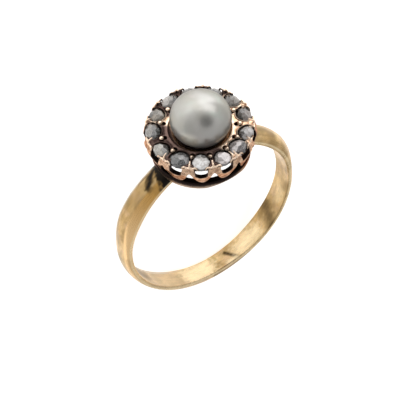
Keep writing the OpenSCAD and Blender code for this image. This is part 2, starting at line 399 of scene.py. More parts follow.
def rose_gold_material():
    """Rose gold head: bright on worn edges, painted highlights on beads, lips and the base's low edge, brown
    tarnish, and painted shade in recesses, grooves, round the stones and on the far side.
    """
    s = new_shader("tarnished_rose_gold_and_painted_light")
    recess_shade, tarnish_and_shade, edge, dark = s.channels("head_wear_and_painted_light")
    here = s.position()
    grain = s.noise(here, 2.6, 5.0, 0.62)
    fine = s.noise(here, 14.0, 3.0, 0.6)
    flecks = s.noise(here, 5.5, 4.0, 0.7)
    metal = s.mix(s.ramp(grain, 0.42, 0.60), *ROSE_TONES)
    metal = s.mix(s.times(edge, 0.85), metal, ROSE_WORN_AND_HIGHLIGHT)
    brown = s.mix(s.ramp(grain, 0.4, 0.6), *TARNISH_AND_SHADE_TONES)
    brown = s.mix(s.ramp(flecks, 0.58, 0.74), brown, TARNISH_FLECK)
    brown = s.mix(s.times(edge, 0.5), brown, TARNISH_EDGE)
    cover = s.math("ADD", tarnish_and_shade, s.times(s.math("SUBTRACT", fine, 0.5), 0.5))
    cover = s.ramp(cover, 0.35, 0.75)
    tone = s.mix(cover, metal, brown)
    # Painted shade, reddish in recesses and black in the dark places
    tone = s.mix(s.ramp(recess_shade, 0.62, 0.95), tone, RECESS_SHADE_RED)
    tone = s.mix(dark, tone, SHADE_BLACK)
    rough = s.math("ADD", s.ramp(fine, 0.3, 0.7, 0.2, 0.34), s.times(cover, 0.12))
    metallic = s.math("SUBTRACT", 1.0, s.times(cover, 0.35))
    relief = s.bump(s.noise(here, 4.5, 3.0, 0.6), s.times(cover, 0.6), 0.08)
    relief = s.bump(fine, 0.25, 0.015, Normal=relief)
    return s.finish(Base_Color=tone, Metallic=metallic, Specular_Tint=ROSE_GRAZING, Roughness=rough,
                    Normal=relief)


# Nacre of the pearl, and the distances in mm over which its painted cream reflection fades
NACRE_TONES = ((0.355, 0.347, 0.317), (0.455, 0.445, 0.425))
NACRE_GREEN = (0.38, 0.41, 0.37)
NACRE_PINK = (0.48, 0.43, 0.41)
NACRE_OLIVE = (0.42, 0.40, 0.335)
NACRE_CREAM_REFLECTION = (0.80, 0.77, 0.66)
NACRE_GRAZING = (0.30, 0.28, 0.25)
CREAM_REFLECTION_REACH = (0.3, 1.3)


def pearl_material():
    """Grey nacre with soft green, pink and olive overtones, and a painted cream reflection low on one side.
    """
    s = new_shader("grey_nacre")
    here = s.position()
    clouds = s.noise(here, 0.32, 2.0, 0.5)
    tints = s.noise(here, 0.55, 2.0, 0.5, 0.6)
    tone = s.mix(s.ramp(clouds, 0.35, 0.65), *NACRE_TONES)
    tone = s.mix(s.ramp(tints, 0.55, 0.75, 0.0, 0.6), tone, NACRE_GREEN)
    tone = s.mix(s.ramp(tints, 0.45, 0.25, 0.0, 0.4), tone, NACRE_PINK)
    tone = s.mix(s.ramp(clouds, 0.3, 0.45, 0.35, 0.0), tone, NACRE_OLIVE)
    # Painted cream reflection low on the pearl's side
    from_cream_reflection = s.measure("DISTANCE", here, RING @ Vector(CREAM_REFLECTION_AT) / MM)
    tone = s.mix(s.ramp(from_cream_reflection, *CREAM_REFLECTION_REACH, 0.8, 0.0), tone, NACRE_CREAM_REFLECTION)
    relief = s.bump(s.noise(here, 9.0, 3.0, 0.6), 0.1, 0.02)
    return s.finish(Base_Color=tone, Metallic=0.7, Specular_Tint=NACRE_GRAZING, Roughness=0.3, IOR=1.5,
                    Coat_Weight=0.05, Coat_Roughness=0.25, Normal=relief)


# Brown clouds and pale veins inside the diamonds
CLOUD_BROWN = (0.25, 0.18, 0.13)
VEIN_PALE = (0.80, 0.82, 0.82)


def diamond_material():
    """Old rose-cut diamond: each facet's tone is a painted reflection, light or dark, with fine clouds and
    branching lines inside.
    """
    s = new_shader("old_diamond")
    facet = s.node("ShaderNodeAttribute", settings={"attribute_name": "painted_facet_tone"}).outputs["Color"]
    here = s.position()
    clouds = s.noise(here, 3.2, 4.0, 0.65)
    veins = s.noise(here, 2.4, 5.0, 0.7, 1.5)
    on_vein = s.ramp(s.math("ABSOLUTE", s.math("SUBTRACT", veins, 0.5)), 0.03, 0.0)
    tone = s.mix(s.ramp(clouds, 0.42, 0.62, 0.0, 0.42), facet, CLOUD_BROWN, "MULTIPLY")
    tone = s.mix(s.times(on_vein, 0.25), tone, VEIN_PALE)
    return s.finish(Base_Color=tone, Roughness=0.12, IOR=1.75, Transmission_Weight=0.12, Coat_Weight=0.2,
                    Coat_Roughness=0.05)


FLOOR_TONES = ((0.90, 0.90, 0.90), (0.93, 0.93, 0.93))
FLOOR_CLOUDS = (0.02, 0.02, 0.02)


def floor_material():
    """Pale floor that glows a little, and more in a pool of light."""
    s = new_shader("pale_floor")
    tone = s.mix(s.noise(s.position(FLOOR_CLOUDS), 1.0, 2.0, 0.5), *FLOOR_TONES)
    back = seen_direction(*POOL_TOWARD)
    pearl = RING @ Vector(PEARL_AT)
    centre = (pearl - back * (pearl.z / back.z)) / MM
    gap = s.measure("DISTANCE", s.position(), centre)
    strength = s.ramp(gap, *POOL_REACH, POOL_GLOW, FLOOR_GLOW)
    return s.finish(Base_Color=tone, Roughness=0.6, Emission_Color=(1, 1, 1), Emission_Strength=strength)


# Band

BAND_STATIONS = 401
CROWN_POINTS = 22
BAND_INNER_POINTS = 26
CORNER_POINTS = 4
EDGE_ROUND = 0.09
# Waves and wear of the band's surface in mm, and the height above which they show
BAND_WAVE = 0.006
CROWN_WORN = 0.022
WAVE_ABOVE = 0.15


def band_size(angle, column):
    """Width (column 1) or thickness (column 2) of the band at an angle from the bottom."""
    angle = abs(angle)
    for a, b in zip(BAND, BAND[1:]):
        if angle <= b[0] or b is BAND[-1]:
            u = min((angle - a[0]) / (b[0] - a[0]), 1.0)
            return a[column] + (b[column] - a[column]) * ease(u)


def band_section(width, thickness):
    """D section as (across, height above the finger hole), round at its two inner edges."""
    half = width / 2
    inner = half - EDGE_ROUND
    crown_turns = [pi * i / CROWN_POINTS for i in range(CROWN_POINTS + 1)]
    crown = [(half * cos(a), BAND_EDGE + (thickness - BAND_EDGE) * sin(a)) for a in crown_turns]
    corner_turns = [pi / 2 * i / CORNER_POINTS for i in range(CORNER_POINTS, 0, -1)]
    corner = [(inner + EDGE_ROUND * cos(a), EDGE_ROUND * (1 - sin(a))) for a in corner_turns]
    flat = [(-inner + 2 * inner * i / BAND_INNER_POINTS, 0.0) for i in range(1, BAND_INNER_POINTS)]
    return crown + [(-across, height) for across, height in reversed(corner)] + flat + corner


# Stains and painted shade on the band: side, ends as (degrees from the bottom, mm across), reach in mm,
# strength
STAINS_AND_SHADE = [
    ("outer", (-155.5, 0.6), (-154, -1.3), 1.5, 1.6),
    ("outer", (-149.5, 0.55), (-141.5, -0.4), 0.68, 0.9),
    ("outer", (-150, 0.1), (-142, -0.3), 1.2, 0.5),
    ("outer", (-147, 0.2), (-128, 0.2), 1.6, 0.36),
    ("outer", (-157, 0.66), (-138, 0.7), 0.14, 0.6),
    ("outer", (-135.6, 0.1), (-128.6, -0.5), 0.75, 0.4),
    ("outer", (156, -0.6), (140, -0.3), 1.1, 0.5),
    ("outer", (138, -0.2), (131, -0.6), 0.8, 0.5),
    ("outer", (130, 0.7), (105, 0.8), 0.7, 0.25),
    ("outer", (27, -1.02), (0, -0.94), 0.17, 0.5),
    ("outer", (-88, -0.95), (-52, -1.15), 0.5, 0.32),
    ("inner", (55, 1.1), (50, -1.1), 1.6, 0.6),
    ("inner", (60, -0.3), (46, -1.0), 0.9, 0.4),
    ("inner", (81, -0.9), (76, -0.7), 0.9, 0.42),
    ("inner", (13.5, 0.4), (18.5, -0.8), 0.32, 0.8),
    ("inner", (12, 0.7), (20, 0.3), 0.7, 0.22),
    ("inner", (100, 0.6), (88, 0.6), 1.0, 0.3),
    ("inner", (-82, 0.0), (-54, 0.0), 1.4, 0.5),
]
# Bright worn parts and painted highlights, in the same columns
WORN_AND_HIGHLIGHTS = [
    ("inner", (-14, 0.0), (-2, 0.0), 1.4, 1.3),
    ("inner", (24, -0.2), (36, -0.2), 1.3, 1.0),
    ("inner", (12, -0.8), (18, -0.9), 0.4, 1.0),
    ("inner", (66, -0.2), (72, -0.2), 0.9, 0.4),
    ("side", (-60, -1.0), (60, -1.0), 0.8, 1.0),
    ("outer", (112, 0.9), (95, 0.8), 0.5, 0.7),
]
MM_PER_DEGREE = 0.16
# Uneven outlines of stains and painted shade: how often two noises repeat along and across, and their shares
WOBBLE_REPEATS = (0.9, 2.2)
RAGGED_REPEATS = (3.5, 4.5)
WOBBLE_SHARE = 0.35
RAGGED_SHARE = 0.45
STAIN_FALL = 0.8
# Bright rim where crown and side meet, worn and with a painted highlight, a little dirt everywhere, and the
# width that "across" spans
RIM_REACH = 0.12
EVEN_DIRT = 0.05
ACROSS_SPAN = 3.0


def band_noise(here, repeats, layer):
    return noise.noise(Vector((here.x * repeats[0], here.y * repeats[1], layer)))


def covered(table, side, angle, across):
    """How strongly the rows of a table cover a place on the band, and the slow noise there."""
    here = Vector((angle * MM_PER_DEGREE, across))
    wobble = band_noise(here, WOBBLE_REPEATS, 2.0)
    ragged = band_noise(here, RAGGED_REPEATS, 5.0)
    total = 0.0
    for at, start, end, reach, strength in table:
        if at != side:
            continue
        a, b = (Vector((p[0] * MM_PER_DEGREE, p[1])) for p in (start, end))
        line = b - a
        t = min(max((here - a).dot(line) / line.dot(line), 0.0), 1.0)
        spread = reach * (1 + WOBBLE_SHARE * wobble + RAGGED_SHARE * ragged)
        gap = (here - a - line * t).length / spread
        total = max(total, strength * ease(max(0.0, 1 - gap * STAIN_FALL)))
    return min(total, 1.0), wobble


def band_wear_and_painted_light(angle, across, height):
    """Four numbers for the material: how far along and across the band, stain with painted shade, and wear
    with painted highlights.
    """
    side = "inner" if height < EDGE_ROUND else "side" if height < BAND_EDGE else "outer"
    rim = max(0.0, 1 - abs(height - BAND_EDGE) / RIM_REACH)
    stain_and_shade, wobble = covered(STAINS_AND_SHADE, side, angle, across)
    worn_and_lit = max(rim, covered(WORN_AND_HIGHLIGHTS, side, angle, across)[0])
    return angle / 360 + 0.5, across / ACROSS_SPAN + 0.5, stain_and_shade + EVEN_DIRT * (1 + wobble), worn_and_lit


def band_height(turn, across, height):
    """Height above the finger hole once the surface is slightly wavy."""
    if height <= WAVE_ABOVE:
        return height
    wave = noise.noise(Vector((turn * 5, across * 1.2, 3.0)))
    return height - BAND_WAVE * (0.5 + 0.5 * wave)


def make_band():
    points = []
    wear_and_light = []
    for k in range(BAND_STATIONS):
        angle = -BAND_END + 2 * BAND_END * k / (BAND_STATIONS - 1)
        turn = radians(angle)
        for across, height in band_section(band_size(angle, 1), band_size(angle, 2) - CROWN_WORN):
            r = FINGER_R + band_height(turn, across, height)
            points.append((r * sin(turn), across, -r * cos(turn)))
            wear_and_light.append(band_wear_and_painted_light(angle, across, height))
    n = len(points) // BAND_STATIONS
    faces = tube_faces(0, BAND_STATIONS, n)
    faces.append(tuple(range(n - 1, -1, -1)))
    faces.append(tuple(range(len(points) - n, len(points))))
    band = add_piece("band", points, faces, ["band_and_setting"])
    add_values(band, "band_wear_and_painted_light", wear_and_light)
    band.data.materials.append(gold_material())
    return band


# Head, as a field of distances to its surface

CELL = 0.04
FIELD_LOW = (-5.5, -5.5, 8.3)
FIELD_HIGH = (5.5, 5.5, 12.7)
FAR = 1.0
# No place on the grid is farther than this from the head's axis
FIELD_R = 8.0

# Outlines as (radius, height), turned round the head's axis, and the rounding of their corners
WALL_T = 0.48
WALL_FOOT = (4.47, 9.0)
WALL_LOW = (4.62, 9.35)
WALL_TOP_Z = CROWN_Z - 0.04
WALL_OUTLINE = [
    WALL_FOOT, WALL_LOW, (RIM_R - 0.045, RIM_Z), (5.2, 11.15), (CROWN_R, WALL_TOP_Z),
    (CROWN_R - WALL_T, WALL_TOP_Z), (RIM_R - WALL_T, RIM_Z), (WALL_LOW[0] - WALL_T, WALL_LOW[1]),
    (WALL_FOOT[0] - WALL_T, WALL_FOOT[1]),
]
BASE_OUTLINE = [
    (BASE_INNER_R, BASE_Z), (BASE_R - 0.05, BASE_Z), (BASE_R, BASE_Z + 0.08), (BASE_R, BASE_Z + 0.6),
    (4.5, BASE_Z + 0.72), (4.05, BASE_Z + 0.72), (BASE_INNER_R, BASE_Z + 0.6),
]
PLATE_OUTLINE = [
    (0.0, 10.0), (1.3, 10.0), (LIP_R, 10.95), (PLATE_R, 11.12), (PLATE_R + 0.05, 11.3), (PLATE_R, 11.62),
    (4.5, PLATE_Z), (LIP_R + 0.2, PLATE_Z - 0.03), (LIP_R + 0.02, PLATE_Z + 0.03),
    (CUP_R - 0.05, PLATE_Z + 0.03), (CUP_R - 0.05, 11.5), (2.6, 11.38), (2.2, 11.15), (0.0, 10.3),
]
WALL_ROUND = 0.03
PLATE_ROUND = 0.02
WALL_TO_BASE = 0.08
HOLE_ROUND = 0.05

# Windows below the stones and arches between them, cut into the wall from a radius outward
WINDOW_R = 0.57
WINDOW_Z = 11.07
WINDOW_FLARE = 0.12
WINDOW_FROM_R = 4.2
# Half width of an arch at a height
ARCH = [(9.15, 1.3), (9.4, 0.98), (9.71, 0.66), (10.07, 0.50), (10.5, 0.34), (10.91, 0.22),
        (11.06, 0.13), (11.12, 0.02)]
ARCH_TOP_Z = 11.14
ARCH_FOOT_Z = 9.22
ARCH_STEEP = 0.75
ARCH_FROM_R = 3.7

# Seats of the stones, each with a raised line round it and a smaller hole below
OUTLINE_TAPER = 0.17
OUTLINE_STEEP = 0.95
SEAT_GROW = 0.09
LIGHT_HOLE = 0.66
LIGHT_HOLE_H = 1.2
COLLAR_GROW = 0.15
COLLAR_R = 0.06
COLLAR_RISE = 0.03
COLLAR_WITHIN_R = 4.95
LINE_FLAT = 0.8

# Beads between the stones, each with a pit on the pearl's side of it
BEAD_RING_R = 3.72
BEAD_R = 0.24
BEAD_RISE = 0.05
PIT_RING_R = 3.42
PIT_R = 0.25
PIT_H = 0.42
PIT_RIM_R = 0.045
PIT_RIM_RISE = 0.01

# Lip that holds the stones, from the claw to both sides: degrees, height
LIP_HALF = [(0, 11.93), (2.6, 11.76), (5.6, 11.86), (7.4, 11.82), (8.8, 11.58)]
LIP = [(-off, height) for off, height in LIP_HALF[:0:-1]] + LIP_HALF
LIP_RING_R = 5.015
LIP_THICK = 0.082
LIP_BLEND = 0.04
GROOVE_DROP = 0.15
GROOVE_IN = 0.03
GROOVE_R = 0.07
# Claw: place as (outward, sideways, height), radius there
CLAW = [((5.05, 0, 11.8), 0.10), ((4.93, 0, 12.08), 0.085), ((4.62, 0, 12.28), 0.065)]
CLAW_BLEND = 0.05

# How each shape changes the metal, the part of the grid that it can reach (inner and outer radius,
# half width, lowest and highest) and how softly it joins
WINDOW_CUT = ("cut", (4.0, 5.6, 1.1, 10.1, 12.6), 0.06)
ARCH_CUT = ("cut", (3.6, 5.6, 1.6, 9.0, 11.3), 0.06)
GROOVE_CUT = ("cut", (4.7, 5.5, 1.0, 11.0, 12.3), 0.02)
LIP_ADD = ("add", (4.7, 5.3, 1.0, 11.2, 12.3), 0.04)
CLAW_ADD = ("add", (4.3, 5.3, 0.4, 11.4, 12.6), 0.05)
COLLAR_ADD = ("add", (3.1, 5.3, 1.1, 10.9, 12.6), 0.05)
SEAT_CUT = ("cut", (3.1, 5.3, 1.1, 9.9, 12.6), 0.03)
PIT_RIM_ADD = ("add", (3.1, 3.8, 0.4, 11.3, 12.2), 0.04)
PIT_CUT = ("cut", (3.1, 3.8, 0.4, 11.1, 12.6), 0.03)
BEAD_ADD = ("add", (3.3, 4.1, 0.45, 11.3, 12.4), 0.05)


def smooth_min(a, b, k):
    h = np.maximum(k - np.abs(a - b), 0.0) / k
    return np.minimum(a, b) - h * h * k * 0.25


def smooth_max(a, b, k):
    return -smooth_min(-a, -b, k)


def capsule(x, y, z, a, b, ra, rb):
    """Distance to a bar with round ends, from a with radius ra to b with radius rb."""
    ab = [q - p for p, q in zip(a, b)]
    ap = (x - a[0], y - a[1], z - a[2])
    t = sum(p * q for p, q in zip(ap, ab)) / sum(q * q for q in ab)
    t = np.clip(t, 0.0, 1.0)
    d = np.sqrt(sum((p - q * t) ** 2 for p, q in zip(ap, ab)))
    return d - (ra + (rb - ra) * t)


def chain(x, y, z, knots, blend):
    """Distance to bars joined end to end. A knot is a place and the radius there."""
    d = None
    for (a, ra), (b, rb) in zip(knots, knots[1:]):
        bar = capsule(x, y, z, a, b, ra, rb)
        d = bar if d is None else smooth_min(d, bar, blend)
    return d


class Field:
    """Grid round the head, for arrays of distances to a surface. Negative is metal."""

    def __init__(self):
        self.axes = [np.arange(lo, hi + CELL / 2, CELL) for lo, hi in zip(FIELD_LOW, FIELD_HIGH)]
        self.size = [len(a) for a in self.axes]
        self.radius = np.hypot(self.axes[0][:, None], self.axes[1][None, :])

    def revolve(self, corners, rounding):
        """Distance to a closed outline in (radius, z), turned round the head's axis."""
        r = np.arange(0, FIELD_R, CELL / 2)
        rr, zz = np.meshgrid(r, self.axes[2], indexing="ij")
        best = np.full(rr.shape, np.inf)
        inside = np.zeros(rr.shape, bool)
        for (r0, z0), (r1, z1) in zip(corners, corners[1:] + corners[:1]):
            dr, dz = r1 - r0, z1 - z0
            t = np.clip(((rr - r0) * dr + (zz - z0) * dz) / (dr * dr + dz * dz), 0, 1)
            best = np.minimum(best, np.hypot(rr - r0 - t * dr, zz - z0 - t * dz))
            if z0 != z1:
                crosses = (z0 > zz) != (z1 > zz)
                inside ^= crosses & (rr < r0 + (zz - z0) * dr / dz)
        table = np.where(inside, -best, best) - rounding
        out = np.empty(self.size, np.float32)
        for k in range(self.size[2]):
            out[:, :, k] = np.interp(self.radius, r, table[:, k])
        return out

    def window_of(self, low, high):
        """Slices and coordinates of the part of the grid between two corners."""
        slices = tuple(slice(max(int((lo - start) / CELL), 0), min(int((hi - start) / CELL) + 2, size))
                       for lo, hi, start, size in zip(low, high, FIELD_LOW, self.size))
        return slices, np.ix_(*(axis[part].astype(np.float32) for axis, part in zip(self.axes, slices)))


def around(angle, r_low, r_high, half, z_low, z_high):
    """Low and high corner of the upright box round a place on the head."""
    a = radians(angle)
    corners = [(r * cos(a) - w * sin(a), r * sin(a) + w * cos(a))
               for r in (r_low, r_high) for w in (-half, half)]
    xs, ys = zip(*corners)
    return (min(xs), min(ys), z_low), (max(xs), max(ys), z_high)


def own_frame(coords, angle):
    """Outward, sideways and upward coordinates at a place on the head."""
    a = radians(angle)
    x, y, z = coords
    return x * cos(a) + y * sin(a), -x * sin(a) + y * cos(a), z


def change(field, values, angle, shape, how, region, blend):
    """Adds a local shape to values, or cuts it out, at a place on the head."""
    slices, coords = field.window_of(*around(angle, *region))
    d = shape(*own_frame(coords, angle))
    part = values[slices]
    values[slices] = smooth_min(part, d, blend) if how == "add" else smooth_max(part, -d, blend)


def window_shape(out, side, z):
    """Round below, and slightly wider upward from its middle."""
    below = np.hypot(side, z - WINDOW_Z) - WINDOW_R
    above = np.abs(side) - (WINDOW_R + WINDOW_FLARE * (z - WINDOW_Z))
    return np.maximum(np.where(z < WINDOW_Z, below, above), WINDOW_FROM_R - out)


def arch_shape(out, side, z):
    """Pointed gap between two hoops of the gallery, wide at its foot."""
    half = np.interp(z, *zip(*ARCH))
    d = np.maximum((np.abs(side) - half) * ARCH_STEEP, z - ARCH_TOP_Z)
    return np.maximum(np.maximum(d, ARCH_FOOT_Z - z), ARCH_FROM_R - out).astype(np.float32)


def stone_distance(out, side, width, length, grow):
    """Rough distance to a diamond's outline in the plate's plane."""
    out = out - (STONE_EDGE_R - length / 2)
    a = np.arctan2(side / width, out / length)
    taper = 1 + OUTLINE_TAPER * np.cos(a)
    reach = np.hypot((length / 2 + grow) * np.cos(a), (width / 2 + grow) * np.sin(a) * taper)
    return (np.hypot(out, side) - reach) * OUTLINE_STEEP


def seat_shape(width, length):
    """Pocket for a diamond, with a smaller hole below that lets light in."""
    shift = (1 - LIGHT_HOLE) * length / 2

    def shape(out, side, z):
        pocket = np.maximum(stone_distance(out, side, width, length, SEAT_GROW), SEAT_Z - z)
        hole = stone_distance(out + shift, side, width * LIGHT_HOLE, length * LIGHT_HOLE, 0.0)
        return np.minimum(pocket, np.maximum(hole, SEAT_Z - LIGHT_HOLE_H - z))
    return shape


def collar_shape(width, length):
    """Raised line round a diamond."""
    def shape(out, side, z):
        ring = stone_distance(out, side, width, length, COLLAR_GROW)
        line = np.hypot(ring, (z - PLATE_Z - COLLAR_RISE) * LINE_FLAT) - COLLAR_R
        return np.maximum(line, np.hypot(out, side) - COLLAR_WITHIN_R)
    return shape


def lip_shape(out, side, z):
    """Metal rolled over the edges of two stones, in waves."""
    knots = []
    for off, height in LIP:
        a = radians(off)
        knots.append(((LIP_RING_R * cos(a), LIP_RING_R * sin(a), height), LIP_THICK))
    return chain(out, side, z, knots, LIP_BLEND)


def groove_shape(out, side, z):
    """Undercut below the lip, so that a shadow line shows there."""
    return lip_shape(out + GROOVE_IN, side, z + GROOVE_DROP) + LIP_THICK - GROOVE_R


def claw_shape(out, side, z):
    return chain(out, side, z, CLAW, CLAW_BLEND)


def bead_shape(out, side, z):
    return np.sqrt((out - BEAD_RING_R) ** 2 + side ** 2 + (z - PLATE_Z - BEAD_RISE) ** 2) - BEAD_R


def pit_shape(out, side, z):
    return np.maximum(np.hypot(out - PIT_RING_R, side) - PIT_R, PLATE_Z - PIT_H - z)


def pit_rim_shape(out, side, z):
    """Burr thrown up round a pit."""
    ring = np.hypot(out - PIT_RING_R, side) - PIT_R - PIT_RIM_R
    return np.hypot(ring, (z - PLATE_Z - PIT_RIM_RISE) * LINE_FLAT) - PIT_RIM_R


def gallery_field(field):
    """Wall with windows and arches on a plain base ring, with lips and claws on top."""
    wall = field.revolve(WALL_OUTLINE, WALL_ROUND)
    for place_at, bead_at, _, _ in STONES:
        change(field, wall, place_at, window_shape, *WINDOW_CUT)
        change(field, wall, bead_at, arch_shape, *ARCH_CUT)
    gallery = smooth_min(wall, field.revolve(BASE_OUTLINE, WALL_ROUND), WALL_TO_BASE)
    for bead_at in BEADS:
        change(field, gallery, bead_at, groove_shape, *GROOVE_CUT)
        change(field, gallery, bead_at, lip_shape, *LIP_ADD)
        change(field, gallery, bead_at, claw_shape, *CLAW_ADD)
    return gallery


def plate_field(field):
    """Plate with the stones' seats and the pearl's cup, and a bead and a pit after each stone."""
    plate = field.revolve(PLATE_OUTLINE, PLATE_ROUND)
    for place_at, _, width, length in STONES:
        change(field, plate, place_at, collar_shape(width, length), *COLLAR_ADD)
    for place_at, _, width, length in STONES:
        change(field, plate, place_at, seat_shape(width, length), *SEAT_CUT)
    for bead_at in BEADS:
        change(field, plate, bead_at, pit_rim_shape, *PIT_RIM_ADD)
        change(field, plate, bead_at, pit_shape, *PIT_CUT)
        change(field, plate, bead_at, bead_shape, *BEAD_ADD)
    return plate


def head_fields():
    """The gallery and the plate, both hollowed by the finger hole."""
    field = Field()
    x = field.axes[0][:, None, None]
    z = field.axes[2][None, None, :]
    hole = FINGER_R - np.hypot(x, z).astype(np.float32)
    return [smooth_max(part, hole, HOLE_ROUND) for part in (gallery_field(field), plate_field(field))]


def sample(grid, points):
    """Values of a grid at points, mixed from the eight corners of the cell round each."""
    index = (points - np.array(FIELD_LOW)) / CELL
    index = np.clip(index, 0, np.array(grid.shape) - 1.001)
    low = index.astype(int)
    t = index - low
    total = 0.0
    for corner in itertools.product((0, 1), repeat=3):
        weight = np.where(corner, t, 1 - t).prod(axis=1)
        total = total + weight * grid[tuple((low + corner).T)]
    return total


def blurred(grid, cells):
    """Box blur along each axis in turn."""
    width = 2 * cells + 1
    for axis in range(3):
        before = np.repeat(grid.take([0], axis), cells + 1, axis)
        after = np.repeat(grid.take([-1], axis), cells, axis)
        total = np.cumsum(np.concatenate([before, grid, after], axis), axis, dtype=np.float64)
        n = grid.shape[axis]
        grid = (total.take(range(width, width + n), axis) - total.take(range(n), axis)) / width
        grid = grid.astype(np.float32)
    return grid


def mesh_of(values):
    grid = openvdb.FloatGrid(FAR)
    grid.copyFromArray(np.clip(values, -FAR, FAR).astype(np.float32))
    points, triangles, quads = grid.convertToPolygons(isovalue=0.0, adaptivity=0.0)
    points = np.array(FIELD_LOW) + points * CELL
    faces = [tuple(q) for q in quads] + [tuple(t) for t in triangles]
    return points, faces


def thin(piece):
    """Collapses a dense mesh to the most triangles that a piece may have here."""
    triangles = sum(len(p.vertices) - 2 for p in piece.data.polygons)
    if triangles <= MOST_TRIANGLES:
        return
    modifier = piece.modifiers.new("thin", "DECIMATE")
    modifier.ratio = MOST_TRIANGLES / triangles
    bpy.context.view_layer.update()
    mesh = bpy.data.meshes.new_from_object(piece.evaluated_get(bpy.context.evaluated_depsgraph_get()))
    piece.modifiers.clear()
    piece.data = mesh


# Wear of the head, with painted shade and highlights

MOST_TRIANGLES = 190000
# How far round a place its openness is measured, in mm, and how far outside the metal
NEAR_BLUR = 0.2
WIDE_BLUR = 0.45
SPOT_OUT = 0.06
# An edge is bright where the share of metal near it is low
EDGE_SHARE = (0.42, 1 / 6)

# Zones: a height or radius in mm, and the length over which the zone fades there
PLATE_LEVEL = (11.3, 0.2)
PLATE_WITHIN = (5.0, 0.15)
INSIDE_WITHIN = (4.75, 0.15)
WALL_BEYOND = (4.0, 0.2)
WALL_BELOW = (11.7, 0.1)
LOW_WALL_BELOW = (10.7, 0.6)
BASE_BELOW = (BASE_Z + 0.78, 0.1)
LOW_EDGE_BELOW = (BASE_Z + 0.52, 0.26)
TALL_ABOVE = (11.86, 0.08)
OUTSIDE_BEYOND = (4.75, 0.1)
OUTSIDE_BELOW = (11.75, 0.05)
FAR_RIM_BEYOND = (4.4, 0.3)
# A face of the wall is turned away when this share or less of its normal points outward
TURNED_AWAY = (0.62, 0.25)

# Stripes along a line: middle and reach in mm, and the peak in the middle if it is more than one
CUP_LIP_LINE = (LIP_R - 0.04, 0.07)
COLLAR_LINE = (COLLAR_GROW + 0.01, 0.06)
BEAD_FOOT_LINE = (BEAD_R + 0.01, 0.07, 1.2)
WALL_TOP_LINE = (11.45, 0.3)
# Where, how wide and how strong the painted shade round the stones is
DARK_LINE_AT = 0.03
DARK_LINE_REACH = 0.11
DARK_LINE_PEAK = 1.3
LIP_MARK_REACH = 0.03
# Half width, and the radius and height beyond which the marks of the lips are looked for
LIP_MARKS_WITHIN = (1.0, 4.5, 11.2)
PEARL_SIDE_STEEP = 1.6

# Sectors of the head: middle, half width and fade in degrees. Tarnish is lighter in the bright ones, and the
# far one gets painted shade.
BRIGHT_SECTORS = [((-22, 72, 22), 1.0), ((122, 26, 22), 0.9)]
FAR_SECTOR = (70, 62, 20)


def rising(value, start, length):
    """0 up to start, and 1 from a length after it on."""
    return np.clip((value - start) / length, 0, 1)


def falling(value, end, length):
    """1 up to a length before end, and 0 from end on."""
    return np.clip((end - value) / length, 0, 1)


def stripe(value, middle, reach, peak=1.0):
    """Strongest in the middle, and 0 from the reach (times the peak) away from it."""
    return np.clip(peak - np.abs(value - middle) / reach, 0, 1)


def sector(angle, middle, half, fade):
    """1 in the middle of a sector, and 0 from half of its width on."""
    return falling(np.abs((angle - middle + 180) % 360 - 180), half, fade)


def bead_distance(points):
    """Distance in the plate's plane to the middle of the nearest bead."""
    best = np.full(len(points), FAR)
    for bead_at in BEADS:
        out, side, _ = own_frame(points.T, bead_at)
        best = np.minimum(best, np.hypot(out - BEAD_RING_R, side))
    return best


def lip_values(points):
    """One on the lips, and one in the grooves below them."""
    lips = np.zeros(len(points))
    grooves = np.zeros(len(points))
    half, r_low, z_low = LIP_MARKS_WITHIN
    for bead_at in BEADS:
        out, side, z = own_frame(points.T, bead_at)
        close = np.flatnonzero((np.abs(side) < half) & (out > r_low) & (z > z_low))
        here = [v[close] for v in (out, side, z)]
        for marks, shape in ((lips, lip_shape), (grooves, groove_shape)):
            marks[close] = np.maximum(marks[close], falling(shape(*here), LIP_MARK_REACH, LIP_MARK_REACH))
    return lips, grooves * (1 - lips)


def stone_edge_distance(points):
    """Distance in the plate's plane to the nearest diamond's outline, and one on its pearl side."""
    best = np.full(len(points), FAR)
    pearl_side = np.zeros(len(points))
    for place_at, _, width, length in STONES:
        out, side, _ = own_frame(points.T, place_at)
        d = stone_distance(out, side, width, length, 0.0)
        close = np.abs(d) < np.abs(best)
        best = np.where(close, d, best)
        inward = (STONE_EDGE_R - length / 2 - out) / length
        pearl_side = np.where(close, np.clip(0.5 + inward * PEARL_SIDE_STEEP, 0, 1), pearl_side)
    return best, pearl_side


def vertex_values(mesh, name):
    values = np.zeros((len(mesh.vertices), 3), np.float32)
    mesh.vertices.foreach_get(name, values.ravel())
    return values


